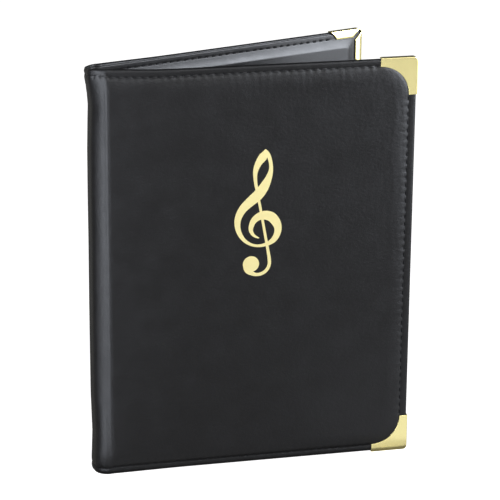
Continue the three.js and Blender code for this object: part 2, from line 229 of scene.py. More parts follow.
def spine_section(fold_turn, facet_turn, corner_length):
    """The plan section's outer line from the front cover round to the back one.

    The heading is a function of the length run: it turns from the cover's direction in a
    short fold, then slowly along the facet, faster round the corner into the flat back,
    and does the same mirrored. The line is the running sum of the heading's unit vectors,
    and the lengths of the facet and the flat back follow from the spine's depth and the
    distance between the hinges. Returns the whole length and x, y and heading at even
    shares of it.
    """
    def travel(turn_from, turn_to):
        along = np.linspace(turn_from, turn_to, 200)
        return np.array([np.cos(along).mean(), np.sin(along).mean()])

    fold = travel(COVER_TURN, fold_turn) * FOLD_LENGTH
    corner = travel(facet_turn, math.pi / 2) * corner_length
    facet_way = travel(fold_turn, facet_turn)
    start_x = FOLD_START * math.cos(COVER_TURN)
    start_y = HINGE_Y + FOLD_START * math.sin(COVER_TURN)
    facet = (SPINE_DEPTH + start_x - fold[0] - corner[0]) / facet_way[0]
    flat = start_y - fold[1] - corner[1] - facet * facet_way[1]
    stops = np.cumsum([0, FOLD_LENGTH, facet, corner_length, flat])
    turns = [COVER_TURN, fold_turn, facet_turn, math.pi / 2, math.pi / 2]
    run = np.linspace(0, 2 * stops[-1], 2001)
    half = np.interp(np.minimum(run, 2 * stops[-1] - run), stops, turns)
    heading = np.where(run <= stops[-1], half, math.pi - half)
    mid = (heading[1:] + heading[:-1]) / 2
    x = start_x - np.concatenate([[0], np.cumsum(np.cos(mid))]) * run[1]
    y = -start_y + np.concatenate([[0], np.cumsum(np.sin(mid))]) * run[1]
    return run[-1], np.stack([x, y, heading])


SECTION_LENGTH, UPPER_SECTION = spine_section(*UPPER_TURNS, UPPER_CORNER)
LOWER_SECTION = spine_section(*LOWER_TURNS, LOWER_CORNER)[1]
SECTION_END = SECTION_LENGTH - 2 * FOLD_START


def section_at(run, z):
    """x, y and heading on the spine: the upper section, going over to the lower one."""
    shares = np.linspace(0, 1, UPPER_SECTION.shape[1])
    share = run / SECTION_LENGTH
    lower = 1 - smooth(LOWER_UP_TO, UPPER_DOWN_TO, z)
    return [
        np.interp(share, shares, above) * (1 - lower) + np.interp(share, shares, below) * lower
        for above, below in zip(UPPER_SECTION, LOWER_SECTION)
    ]


def spine_draw(z):
    """How far the spine stands out at each height, as a share of its full depth.

    It is drawn in below the top hem, and less so further down, as the soft sheet sags
    between the covers; both hems stand out again.
    """
    heights = [0, 5, 14, 30, 60, 130, 180, 215, 250, 270, 282, 290, 297, 304, FOLDER_TOP]
    shares = [0.9, 0.87, 0.78, 0.72, 0.8, 0.8, 0.78, 0.78, 0.76, 0.71, 0.67, 0.72, 0.8, 0.96, 1.0]
    return np.interp(z, heights, shares)


def plan_point(p, z, out):
    """The point at p along the sheet's line, at height z and out mm outside the line.

    p is u on the cover and runs to minus values round the spine. On the spine the depth
    behind the hinges is multiplied by spine_draw.
    """
    run = FOLD_START - p
    section_x, section_y, turn = section_at(run, z)
    x = np.where(run < 0, p * math.cos(COVER_TURN), section_x)
    y = np.where(run < 0, -HINGE_Y - p * math.sin(COVER_TURN), section_y)
    x = x - np.sin(turn) * out
    y = y - np.cos(turn) * out
    x = np.where(x < 0, x * spine_draw(z), x)
    return np.stack(np.broadcast_arrays(HINGE_X + x, y, z), axis=-1)


def row_pitch(start, end):
    """The stitch pitch that divides a row evenly, nearest to the nominal one."""
    return (end - start) / round((end - start) / STITCH_PITCH)


ACROSS_PITCH = row_pitch(0, BRASS_START)
FORE_PITCH = row_pitch(FORE_ROW_LOW, FORE_ROW_HIGH)
SPINE_PITCH = row_pitch(0, SECTION_END)


def seam_shift(p):
    """How much nearer to the edge the stitches run on the spine than on a cover."""
    return SPINE_SEAM_SHIFT * (1 - smooth(-6, 10, p))


def seam_distance(p, z):
    """How far inside the stitch line a point lies: a rectangle with round fore corners.

    The corners are concentric with the brass corners' arcs. It is negative outside.
    """
    centre_u = COVER_WIDTH + BRASS_MARGIN - PAD_CORNER_CENTRE
    centre_z = MIDDLE_HEIGHT - PAD_CORNER_CENTRE + STITCH_INSET - ROW_INSET + seam_shift(p)
    radius = STITCH_FORE - centre_u
    du = p - centre_u
    dz = np.abs(z - MIDDLE_HEIGHT) - centre_z
    outside = np.hypot(np.maximum(du, 0), np.maximum(dz, 0))
    inside = np.minimum(np.maximum(du, dz), 0)
    return radius - outside - inside


def stitch_pull(p, z):
    """1 at the middle of each stitch and 0 between two, fading out under the brass."""
    pitch = np.where(p < 0, SPINE_PITCH, ACROSS_PITCH)
    across = (0.5 - 0.5 * np.cos(2 * np.pi * p / pitch)) ** 2
    upward = (0.5 - 0.5 * np.cos(2 * np.pi * (z - FORE_ROW_LOW) / FORE_PITCH)) ** 2
    near_ends = np.abs(z - MIDDLE_HEIGHT) > FORE_ROW_HIGH - MIDDLE_HEIGHT
    by_brass = 1 - smooth(BRASS_START - 1, BRASS_START + 1, p)
    return np.where(near_ends, across * by_brass, upward)


def slack(p, z):
    """Shallow waves of the sheet over its padding, as a sum of slow sines."""
    wave = np.sin(p / 31 + 0.7) * np.sin(z / 43 + 1.1)
    wave = wave + 0.6 * np.sin(p / 17 + z / 29) + 0.4 * np.sin(p / 11 - z / 37 + 2)
    return SLACK_DEPTH * wave


def wrinkles(p, z, inside):
    """Fine upright creases below the top seam: sines along the row that fade downwards."""
    wave = np.sin(2 * np.pi * p / WRINKLE_LENGTH + 1.6 * np.sin(z / 9) + 2.2 * np.sin(p / 23))
    where = smooth(45, 110, p) * np.exp(-np.maximum(inside, 0) / WRINKLE_REACH)
    return WRINKLE_DEPTH * wave * where * smooth(1, 4, inside) * (z > MIDDLE_HEIGHT)


def puff(p, z):
    """How far the outer skin stands outside its line: padding, puckers and seam groove.

    Inside the stitch line it rises as a rounded shoulder to the padding's crown, less a
    pucker at each stitch that fades with the distance. The line itself is a shallow groove
    with a trough at each stitch. Round the spine the padding is thinner.
    """
    inside = seam_distance(p, z)
    shoulder = (1 - SHOULDER_SHARE) * level_off(inside, PAD_ROLL)
    shoulder = shoulder + SHOULDER_SHARE * level_off(inside, SHOULDER_REACH)
    rise = PAD_RISE * (SPINE_PAD_SHARE + (1 - SPINE_PAD_SHARE) * smooth(-2.5, 3.4, p))
    pull = stitch_pull(p, z)
    near = np.exp(-np.maximum(inside, 0) / PUCKER_REACH)
    pucker = PUCKER_DEPTH * pull * near * smooth(0, 1.2, inside)
    hem = BORDER_LIFT + HEM_BULGE * (1 - smooth(-8, 4, p))
    border = hem * smooth(-0.4, -2.0, inside)
    trough = TROUGH_DEPTH * (0.3 + 0.7 * smooth(-6, 2, p))
    groove = (GROOVE_DEPTH + trough * pull) * np.exp(-((inside / GROOVE_WIDTH) ** 2))
    crown = slack(p, z) * smooth(2, 14, inside) + wrinkles(p, z, inside)
    return rise * shoulder - pucker + border - groove + crown


def closed_mesh(name, side, outer, inner, material):
    """Joins two grids of points of one side, face to face, with a wall round their border.

    The faces are turned outwards by the sign of the volume that they enclose, and points
    that fall together are merged.
    """
    rows, cols = outer.shape[:2]
    index = np.arange(rows * cols).reshape(rows, cols)
    a, b, c, d = index[:-1, :-1], index[1:, :-1], index[1:, 1:], index[:-1, 1:]
    top = np.stack([a, b, c, d], axis=-1).reshape(-1, 4)
    under = top[:, ::-1] + rows * cols
    ring = np.concatenate([index[:-1, 0], index[-1, :-1], index[:0:-1, -1], index[0, :0:-1]])
    after = np.roll(ring, -1)
    wall = np.stack([after, ring, ring + rows * cols, after + rows * cols], axis=-1)
    faces = np.concatenate([top, under, wall])
    points = np.concatenate([outer.reshape(-1, 3), inner.reshape(-1, 3)])
    return mesh_object(f"{side}_{name}", sided(points, side) * MM, faces, material)


def add_object(name, data):
    """An object of this data, put into the scene."""
    added = bpy.data.objects.new(name, data)
    bpy.context.scene.collection.objects.link(added)
    return added


def mesh_object(name, points, faces, material):
    """A smooth-shaded object of these points and quads, facing out and merged."""
    corner = points[faces]
    corner = corner - points.mean(axis=0)
    volume = 0
    for second, third in ((1, 2), (2, 3)):
        crossed = np.cross(corner[:, second], corner[:, third])
        volume += np.einsum("ij,ij->i", corner[:, 0], crossed).sum()
    if volume < 0:
        faces = faces[:, ::-1]
    mesh = bpy.data.meshes.new(name)
    mesh.from_pydata(points.tolist(), [], faces.tolist())
    work = bmesh.new()
    work.from_mesh(mesh)
    bmesh.ops.remove_doubles(work, verts=work.verts, dist=2e-6)
    bmesh.ops.dissolve_degenerate(work, edges=work.edges, dist=1e-6)
    work.to_mesh(mesh)
    work.free()
    mesh.shade_smooth()
    mesh.materials.append(material)
    return add_object(name, mesh)


def sided(points, side):
    """The points mirrored in Y on the back, and on the front lifted near the spine's top.

    The lift is a product of smooth steps: near the top, near the hinge line and in front.
    """
    if side == "back":
        return points * np.array([1, -1, 1])
    x, y, z = points[..., 0], points[..., 1], points[..., 2]
    lift = TOP_LIFT * smooth(262, 306, z) * (1 - smooth(-12, 42, x - HINGE_X))
    lift = lift * smooth(1, 9, -y)
    return points + lift[..., None] * np.array([0, 0, 1])


def wrap(run, radius, offset):
    """Where a sheet that turns round an edge comes, for each run past the tangent point.

    The turn is half a circle of the given radius, and what is past it runs back along the
    inside. Returns the place beyond the tangent point and the depth behind the face.
    """
    angle = np.clip(run / radius, 0, math.pi)
    back = np.maximum(run - math.pi * radius, 0)
    reach = (radius - offset) * np.sin(angle) - back
    depth = radius - (radius - offset) * np.cos(angle)
    return reach, depth


def skin_grid(p_face, z_face, p_turn, z_turn, offset):
    """The skin's points for every pair of a place along the sheet and a place up it.

    The face carries the puff. Past the edges the sheet turns round them and runs back
    inside. In the fore corners the two turned edges meet on the diagonal. The offset is
    the depth of the grid below the skin's outside.
    """
    thick = SPINE_THICKNESS + (BORDER_THICKNESS - SPINE_THICKNESS) * smooth(-2, 4, p_face)
    radius = thick / 2
    up = np.sign(z_face - MIDDLE_HEIGHT)
    hem = BRASS_MARGIN * (1 - smooth(-2, 60, p_face))
    edge = np.where(up > 0, COVER_HIGH + hem, COVER_LOW - hem)
    tangent_z = edge - up * radius
    z_reach, z_depth = wrap(z_turn, radius, offset)
    p_reach, p_depth = wrap(p_turn, BORDER_THICKNESS / 2, offset)
    z = np.where(z_turn > 0, tangent_z + up * z_reach, z_face)
    tangent_p = COVER_WIDTH - BORDER_THICKNESS / 2
    p = np.where(p_turn > 0, tangent_p + p_reach, p_face)
    depth = np.maximum(z_depth, p_depth)
    inside_p = np.maximum(p_turn - math.pi * BORDER_THICKNESS / 2, 0)
    inside_z = np.maximum(z_turn - math.pi * radius, 0)
    room_z = COVER_HIGH - MIDDLE_HEIGHT - BORDER_THICKNESS / 2
    above = z - MIDDLE_HEIGHT
    mitred = np.minimum(np.abs(above), room_z - inside_p) * np.sign(above)
    z = np.where(inside_p > 0, MIDDLE_HEIGHT + mitred, z)
    p = np.where(inside_z > 0, np.minimum(p, tangent_p - inside_z), p)
    out = np.where((z_turn > 0) | (p_turn > 0), 0, puff(p_face, z_face)) - depth
    p, z = rounded_corner(p, z)
    return plan_point(p, z, out)


def rounded_corner(p, z):
    """Pulls the square fore corners in to a quarter circle, and leaves the rest."""
    above = z - MIDDLE_HEIGHT
    centre_p = COVER_WIDTH - EDGE_CORNER
    centre_z = COVER_HIGH - MIDDLE_HEIGHT - EDGE_CORNER
    du = np.maximum(p - centre_p, 0)
    dz = np.maximum(np.abs(above) - centre_z, 0)
    longest = np.maximum(du, dz)
    shrink = np.where(longest > 0, longest / np.maximum(np.hypot(du, dz), 1e-9), 1)
    in_corner = (du > 0) & (dz > 0)
    p = np.where(in_corner, centre_p + du * shrink, p)
    z = np.where(in_corner, MIDDLE_HEIGHT + (centre_z + dz * shrink) * np.sign(above), z)
    return p, z


def turned_samples(face, turn_radius, turn_count, inside_steps):
    """Face places with a turned-in edge at the end: (place, run past the tangent)."""
    half_turn = math.pi * turn_radius
    inside = half_turn + np.linspace(0, TURN_IN - turn_radius, inside_steps)
    run = np.concatenate([np.linspace(0, half_turn, turn_count)[1:-1], inside])
    places = np.concatenate([face, np.full(run.size, face[-1])])
    turns = np.concatenate([np.zeros(face.size), run])
    return places, turns


def rows_up(low_rows):
    """Heights from these rows at the foot, evenly up, to the same rows at the top."""
    start = low_rows[-1]
    middle = spread(start, (FOLDER_TOP - start, FORE_PITCH / 4))[1:-1]
    return np.concatenate([low_rows, middle, FOLDER_TOP - low_rows[::-1]])


def skin_piece(side, material):
    """The outer skin of a cover and, on the front, of the spine up to a seam at the back."""
    radius = BORDER_THICKNESS / 2
    start = SEAM_FROM_HINGE - SECTION_END if side == "front" else -SEAM_FROM_HINGE
    pitch = ACROSS_PITCH / 4
    face_p = spread(
        start,
        (-4, 1.0),
        (3, 0.5),
        (7.5, pitch),
        (STITCH_FORE - 14, pitch),
        (STITCH_FORE - 5, 1.0),
        (STITCH_FORE + 1.6, 0.5),
        (COVER_WIDTH - radius, 0.9),
    )
    low = COVER_LOW + radius
    face_z = rows_up(spread(low, (STITCH_LOW - 1.6, 0.9), (STITCH_LOW + 5, 0.5), (20, 1.0)))
    p_places, p_turns = turned_samples(face_p, radius, 7, 4)
    z_top, turns_top = turned_samples(face_z, radius, 7, 4)
    extra = z_top.size - face_z.size
    z_places = np.concatenate([np.full(extra, face_z[0]), z_top])
    z_turns = np.concatenate([turns_top[::-1][:extra], turns_top])
    p_grid, z_grid = np.meshgrid(p_places, z_places)
    pt_grid, zt_grid = np.meshgrid(p_turns, z_turns)
    outer = skin_grid(p_grid, z_grid, pt_grid, zt_grid, 0.0)
    inner = skin_grid(p_grid, z_grid, pt_grid, zt_grid, SKIN)
    return closed_mesh("leather", side, outer, inner, material)


def edge_distance(p, z):
    """How far a point of a cover lies inside its edges, rounded where two are as near."""
    across = COVER_WIDTH - p
    upward = COVER_HIGH - MIDDLE_HEIGHT - np.abs(z - MIDDLE_HEIGHT)
    both = np.exp(-across / CORNER_EASE) + np.exp(-upward / CORNER_EASE)
    return -CORNER_EASE * np.log(both)


def inner_seam_gap(p, z):
    """The distance from the nearest of the three straight rows of stitches inside."""
    height = np.abs(z - MIDDLE_HEIGHT)
    beside_rows = height > FORE_ROW_HIGH - MIDDLE_HEIGHT
    return np.where(beside_rows, height - (STITCH_HIGH - MIDDLE_HEIGHT), STITCH_FORE - p)


def inner_groove(p, z):
    """The dip of an inside sheet along its stitches, deeper at each stitch."""
    pull = stitch_pull(p, z)
    depth = INNER_GROOVE_DEPTH + INNER_TROUGH_DEPTH * pull
    return depth * np.exp(-((inner_seam_gap(p, z) / GROOVE_WIDTH) ** 2))


def lining_level(p, z):
    """The lining's depth behind the border's outer face.

    On a cover it is flat along the border, swells over the turned-in edge of the skin
    inside the stitches and falls slowly to the board. On the spine, which has no board,
    it lies flatter.
    """
    inside = edge_distance(p, z)
    climb = np.clip((inside - STITCH_INSET) / (TURN_IN - STITCH_INSET), 0, 1)
    swell = LINING_SWELL * (0.4 * climb + 0.6 * climb**2)
    reach = LINING_FALL * (1 + 2 * smooth(95, 150, p))
    fall = (LINING_SWELL + LINING_STEP) * smooth(TURN_IN - 2, TURN_IN + reach, inside)
    on_cover = COVER_THICKNESS + swell - fall - inner_groove(p, z)
    turned = 1 - smooth(TURN_IN - 1, TURN_IN + 1, inside)
    thin = SKIN + LINING + LINING_BULK
    on_spine = thin + (SPINE_THICKNESS - thin) * turned
    return on_spine + (on_cover - on_spine) * smooth(-5, 3, p)


def lining_piece(side, material):
    """The inside lining, from near the fore edge round the fold to the spine's middle."""
    pitch = ACROSS_PITCH / 4
    right = COVER_WIDTH - LINING_INSET
    p_places = spread(
        -SECTION_END / 2,
        (-6, 1.2),
        (6, 0.8),
        (right - 14, pitch),
        (right - 8, 0.7),
        (right - LINING_ROUND, 0.6),
        (right, 0.1),
    )
    low = COVER_LOW + LINING_INSET
    low_rows = spread(
        low, (low + LINING_ROUND, 0.1), (STITCH_LOW + 1.6, 0.5), (10, 0.8), (16, 0.5), (22, 1.5)
    )
    p_grid, z_grid = np.meshgrid(p_places, rows_up(low_rows))
    level = lining_level(p_grid, z_grid)
    edge = np.minimum(right - p_grid, z_grid - low)
    edge = np.minimum(edge, FOLDER_TOP - low - z_grid)
    thick = LINING * rounded_rim(edge, LINING_ROUND)
    outer = plan_point(p_grid, z_grid, -(level - LINING - LINING_TUCK))
    inner = plan_point(p_grid, z_grid, -(level - LINING + thick))
    return closed_mesh("inside", side, inner, outer, material)


def pocket_piece(side, material):
    """The pocket sheet: its mouth is hemmed and bows a little away from the lining."""
    left, right = POCKET_HINGE_INSET, COVER_WIDTH - LINING_INSET
    low = COVER_LOW + LINING_INSET
    high = COVER_LOW + POCKET_HEIGHT
    p_places = spread(left, (left + 2, 0.4), (right - 14, ACROSS_PITCH / 4), (right, 0.6))
    z_places = spread(low, (STITCH_LOW + 1.6, 0.5), (24, 1.5), (high - 12, 4), (high, 0.6))
    p_grid, z_grid = np.meshgrid(p_places, z_places)
    seam = np.minimum(z_grid - low, right - p_grid)
    inside = edge_distance(p_grid, z_grid)
    mouth = smooth(40, POCKET_HEIGHT, z_grid) * smooth(0, 60, p_grid - left)
    bow = POCKET_BOW * mouth * smooth(6, 70, right - p_grid)
    swell = LINING_SWELL * smooth(STITCH_INSET - 0.4, TURN_IN + 0.6, inside)
    swell = swell - 0.5 * LINING_SWELL * smooth(TURN_IN - 1, TURN_IN + 26, inside)
    hem_low = high - POCKET_HEM_WIDTH
    hem = POCKET_HEM * smooth(hem_low, hem_low + 0.8, z_grid)
    hem = hem - 0.1 * smooth(high - 1, high, z_grid)
    level = COVER_THICKNESS + POCKET_GAP + POCKET - inner_groove(p_grid, z_grid)
    level = level + swell + bow + hem
    edge = np.minimum(np.minimum(seam, p_grid - left), high - z_grid)
    bulk = POCKET / 2 * rounded_rim(edge, POCKET_ROUND)
    inner = plan_point(p_grid, z_grid, -(level - POCKET / 2) - bulk)
    outer = plan_point(p_grid, z_grid, -(level - POCKET / 2) + bulk)
    return closed_mesh("pocket_sheet", side, inner, outer, material)


def padding_piece(side, material):
    """The foam between skin and board: its outside follows the skin's underside."""
    left, right = FOAM_START, STITCH_FORE - FOAM_INSET
    low, high = STITCH_LOW + FOAM_INSET, STITCH_HIGH - FOAM_INSET
    p_places = spread(left, (left + 8, 1), (right - FOAM_TAPER, 6), (right, 1))
    z_places = spread(low, (low + FOAM_TAPER, 1), (high - FOAM_TAPER, 6), (high, 1))
    p_grid, z_grid = np.meshgrid(p_places, z_places)
    inside = seam_distance(p_grid, z_grid)
    floor_level = -(SKIN + 0.08)
    crown = puff(p_grid, z_grid) - SKIN - 0.12
    outside = np.maximum(np.where(inside > FOAM_INSET, crown, floor_level), floor_level)
    outer = plan_point(p_grid, z_grid, outside)
    inner = plan_point(p_grid, z_grid, np.full_like(outside, floor_level - 0.02))
    return closed_mesh("padding", side, outer, inner, material)


def spindle(length, full, around=8, along=9):
    """One stitch: a spindle along the first axis whose ends dive and whose middle is full.

    The radius is a flattened half sine, and the middle line arches up and sinks at both
    ends. Returns points in (along, across, up) and its quads.
    """
    share = np.linspace(0, 1, along)
    angle = np.linspace(0, 2 * np.pi, around, endpoint=False)
    radius = full * np.sin(np.pi * share) ** 0.4
    radius[[0, -1]] = 0
    arch = STITCH_ARCH * np.sin(np.pi * share) - STITCH_SINK
    x = (share - 0.5)[:, None] * length + 0 * angle
    across = radius[:, None] * np.cos(angle) * 1.15
    up = radius[:, None] * np.sin(angle) + arch[:, None]
    points = np.stack([x, across, up], axis=-1).reshape(-1, 3)
    index = np.arange(along * around).reshape(along, around)
    after = np.roll(index, -1, axis=1)
    faces = np.stack([index[:-1], index[1:], after[1:], after[:-1]], axis=-1).reshape(-1, 4)
    return points, faces


def stitch_piece(name, side, size, middles, tangents, normals, material):
    """Copies of the spindle laid at each middle, along its tangent and out on its normal."""
    shape, quads = spindle(*size)
    tangents = tangents / np.linalg.norm(tangents, axis=1, keepdims=True)
    across = np.cross(normals, tangents)
    across = across / np.linalg.norm(across, axis=1, keepdims=True)
    up = np.cross(tangents, across)
    basis = np.stack([tangents, across, up], axis=1)
    points = middles[:, None, :] + np.einsum("pk,nkc->npc", shape, basis)
    faces = quads[None] + (np.arange(len(middles)) * len(shape))[:, None, None]
    points = sided(points.reshape(-1, 3), side) * MM
    return mesh_object(name, points, faces.reshape(-1, 4), material)


def row_frames(p, z, level):
    """Middles, tangents and outward normals of stitches at these places on a surface.

    The level function gives how far out of the sheet's line the surface lies. Tangents and
    normals come from small differences along the surface.
    """
    step = 0.3
    z = z + np.sign(z - MIDDLE_HEIGHT) * seam_shift(p)

    def point(dp, dz):
        return plan_point(p + dp, z + dz, level(p + dp, z + dz))

    return point(0, 0), point(step, 0) - point(-step, 0), point(0, step) - point(0, -step)


def stitch_rows(name, side, size, level, rows, outside, material):
    """All stitches of several straight rows, each row (places p, heights z, upward)."""
    middles, tangents, normals = [], [], []
    for p, z, upward in rows:
        middle, along_p, along_z = row_frames(p, z, level)
        normal = np.cross(along_z, along_p)
        normal = normal / np.linalg.norm(normal, axis=1, keepdims=True)
        middles.append(middle)
        tangents.append(along_z if upward else along_p)
        normals.append(normal if outside else -normal)
    parts = [np.concatenate(x) for x in (middles, tangents, normals)]
    return stitch_piece(name, side, size, *parts, material)


def even_row(start, end, pitch):
    """The middles of the stitches in a row, half a pitch from each needle hole."""
    count = round((end - start) / pitch)
    return start + (np.arange(count) + 0.5) * pitch


def outer_level(p, z):
    """The stitches' middle height on the outside, between the troughs' floor and rim."""
    return np.full_like(p, -STITCH_LEVEL * (GROOVE_DEPTH + TROUGH_DEPTH), dtype=float)


def inner_level(p, z):
    """The seam's floor on the inside of a cover, over the pocket where there is one."""
    over_pocket = (POCKET + POCKET_GAP) * (z < COVER_LOW + POCKET_HEIGHT)
    return -(COVER_THICKNESS + over_pocket - 0.1) + 0 * p


def spine_inner_level(p, z):
    """The hem's inner face on the spine."""
    return np.full_like(p, -SPINE_THICKNESS, dtype=float)


def cover_stitches(side, outside, material):
    """The thread along a cover's three free edges, seen on one of its two faces."""
    across = even_row(0, BRASS_START, ACROSS_PITCH)
    upward = even_row(FORE_ROW_LOW, FORE_ROW_HIGH, FORE_PITCH)
    rows = [
        (across, np.full_like(across, STITCH_HIGH), False),
        (across, np.full_like(across, STITCH_LOW), False),
        (np.full_like(upward, STITCH_FORE), upward, True),
    ]
    level = outer_level if outside else inner_level
    size = COVER_STITCH if outside else INNER_STITCH
    name = side + ("_outer_thread" if outside else "_inner_thread")
    return stitch_rows(name, side, size, level, rows, outside, material)


def spine_stitches(end, outside, material):
    """The thread across the spine's hem at one end, on its outside or its inside."""
    height = STITCH_HIGH if end == "top" else STITCH_LOW
    p = -even_row(0, SECTION_END, SPINE_PITCH)
    level = outer_level if outside else spine_inner_level
    rows = [(p, np.full_like(p, height), False)]
    name = "spine_" + end + ("_outer_thread" if outside else "_inner_thread")
    return stitch_rows(name, "front", SPINE_STITCH, level, rows, outside, material)


def corner_outline(share, inset):
    """A point on a brass corner's outline, moved in, and its outward direction.

    The share runs from one leg's end round the corner to the other's. The corner itself
    is a quarter circle. Returns x, z, the direction's x and z, and the run from the
    square corner along the nearer leg.
    """
    straight = BRASS_LEG - BRASS_OUTER_CORNER
    arc = math.pi / 2 * BRASS_OUTER_CORNER
    run = share * (2 * straight + arc)
    angle = np.clip((run - straight) / BRASS_OUTER_CORNER, 0, math.pi / 2)
    radius = BRASS_OUTER_CORNER - inset
    x = -BRASS_OUTER_CORNER + radius * np.sin(angle)
    z = -BRASS_OUTER_CORNER + radius * np.cos(angle)
    x = x - np.maximum(straight - run, 0)
    z = z - np.maximum(run - straight - arc, 0)
    from_corner = np.abs(run - straight - arc / 2) + BRASS_OUTER_CORNER - arc / 2
    return x, z, np.sin(angle), np.cos(angle), from_corner


def corner_profile():
    """Samples across a brass corner: (part, share within the part), from plate to lip."""
    parts = []
    for part, count in enumerate((14, 6, 4, 6, 12)):
        shares = np.linspace(0, 1, count + 1)[(0 if part == 0 else 1):]
        if part == 0:
            shares = shares**CROWDING
        if part == 4:
            shares = 1 - (1 - shares) ** CROWDING
        parts.append(np.stack([np.full(shares.size, part), shares], axis=1))
    return np.concatenate(parts)


def corner_shares():
    """Sample shares round the outline, closest at the legs' ends and at the corner."""
    near_end, near_corner = 0.06, 0.42
    ends = np.linspace(0, 1, 9) ** CROWDING * near_end
    leg = np.linspace(near_end, 0.5, 40)
    corner = np.linspace(near_corner, 0.5, 14)
    half = np.unique(np.concatenate([ends, leg[leg < near_corner], corner]))
    return np.concatenate([half, 1 - half[:-1][::-1]])


def lip_width(from_corner):
    """How far the lip's flat reaches: up to the mitre, and less on the slant at the end."""
    width = np.minimum(LIP_WIDTH, from_corner - MITRE_GAP)
    slant = (BRASS_LEG - from_corner) * LIP_WIDTH / LIP_SLANT
    width = np.minimum(width, LIP_END + slant)
    return np.maximum(width - BRASS / 2 - BRASS_BEND, NARROWEST_LIP)


def corner_sheet(stack):
    """The middle surface of a bent brass corner, its normal and the distance to its rim.

    Across it come the plate, which runs straight from the arc to the bend, a quarter bend,
    the wall, a second quarter bend and the lip, which ends on the mitre and on a slant and
    has a low crown. Coordinates are x and z from the outer corner and v inwards.
    """
    share = corner_shares()
    profile = corner_profile()
    q, part = np.meshgrid(share, profile[:, 0], indexing="ij")
    s = np.broadcast_to(profile[:, 1], q.shape)
    x, z, nx, nz, from_corner = corner_outline(q, BRASS / 2 + BRASS_BEND)
    arc_angle = q * math.pi / 2
    arc_x = -BRASS_LEG + BRASS_ARC * np.sin(arc_angle)
    arc_z = -BRASS_LEG + BRASS_ARC * np.cos(arc_angle)
    outer_v = -BRASS_CLEARANCE - BRASS / 2
    inner_v = stack + BRASS_CLEARANCE + BRASS / 2
    width = lip_width(from_corner)
    bend = s * math.pi / 2
    parts = [part == k for k in range(5)]
    plate, lip = parts[0], parts[4]
    sine, cosine = np.sin(bend), np.cos(bend)
    out = np.select(parts, [0.0, BRASS_BEND * sine, BRASS_BEND, BRASS_BEND * cosine, -s * width])
    depths = [
        outer_v,
        outer_v + BRASS_BEND * (1 - cosine),
        outer_v + BRASS_BEND + s * (inner_v - outer_v - 2 * BRASS_BEND),
        inner_v - BRASS_BEND * (1 - sine),
        inner_v,
    ]
    place_v = np.select(parts, depths)
    normal_v = np.select(parts, [-1.0, -cosine, 0.0, sine, 1.0])
    normal_out = np.sqrt(np.maximum(1 - normal_v**2, 0))
    place_x = np.where(plate, arc_x + (x - arc_x) * s, x + nx * out)
    place_z = np.where(plate, arc_z + (z - arc_z) * s, z + nz * out)
    points = np.stack([place_x, place_v, place_z], axis=-1)
    normals = np.stack([nx * normal_out, normal_v, nz * normal_out], axis=-1)
    across = np.linalg.norm(np.diff(points, axis=1), axis=-1)
    run = np.concatenate([np.zeros((len(share), 1)), np.cumsum(across, axis=1)], axis=1)
    from_lip_edge = run[:, -1:] - run
    from_end = np.maximum(np.where(q > 0.5, BRASS_LEG + place_z, BRASS_LEG + place_x), 0)
    edge = np.minimum(from_lip_edge, from_end)
    from_wall = smooth(0, LIP_START, s * width)
    points[..., 1] += LIP_CROWN * level_off(edge, LIP_EDGE) * from_wall * lip
    slope_v = np.gradient(points[..., 1], axis=1)
    slope_out = np.gradient(-out, axis=1)
    tilt = np.where(lip, np.arctan2(slope_v, np.maximum(slope_out, 1e-6)), 0)
    normals[..., 0] += np.where(lip, nx * np.sin(tilt), 0)
    normals[..., 2] += np.where(lip, nz * np.sin(tilt), 0)
    normals /= np.linalg.norm(normals, axis=-1, keepdims=True)
    return points, normals, np.minimum(np.minimum(run, from_lip_edge), from_end)


def brass_piece(side, end, material):
    """A stamped brass corner: the sheet thickened to both sides, with a rounded rim."""
    stack = COVER_THICKNESS + (POCKET + POCKET_GAP if end == "bottom" else 0)
    points, normals, rim = corner_sheet(stack)
    bulk = BRASS / 2 * rounded_rim(rim, RIM_ROUND)
    grids = []
    for sign in (1, -1):
        moved = points + normals * (sign * bulk)[..., None]
        u = COVER_WIDTH + BRASS_MARGIN + moved[..., 0]
        z = moved[..., 2] + FOLDER_TOP if end == "top" else -moved[..., 2]
        grids.append(plan_point(u, z, -moved[..., 1]))
    return closed_mesh(end + "_brass", side, *grids, material)


def foil_piece(material):
    """The clef's foil, with the outline of its solid, laid on the skin's own surface."""
    source = NODES["treble_clef_foil"].data
    mesh = source.copy()
    mesh.name = "clef_foil"
    work = bmesh.new()
    work.from_mesh(mesh)
    bmesh.ops.remove_doubles(work, verts=work.verts, dist=2e-6)
    bmesh.ops.dissolve_limit(
        work,
        angle_limit=math.radians(1),
        use_dissolve_boundaries=False,
        verts=work.verts,
        edges=work.edges,
    )
    bmesh.ops.triangulate(work, faces=work.faces)
    work.to_mesh(mesh)
    work.free()
    place = np.empty(len(mesh.vertices) * 3)
    mesh.vertices.foreach_get("co", place)
    place = place.reshape(-1, 3) / MM
    x = place[:, 0] - HINGE_X
    y = place[:, 1] + HINGE_Y
    u = x * math.cos(COVER_TURN) - y * math.sin(COVER_TURN)
    out = -(x * math.sin(COVER_TURN) + y * math.cos(COVER_TURN))
    middle = (out.min() + out.max()) / 2
    lift = np.where(out > middle, FOIL_TOP, FOIL_FOOT)
    moved = plan_point(u, place[:, 2], puff(u, place[:, 2]) + lift) * MM
    mesh.vertices.foreach_set("co", moved.ravel())
    mesh.materials.clear()
    mesh.materials.append(material)
    return add_object("clef_foil", mesh)


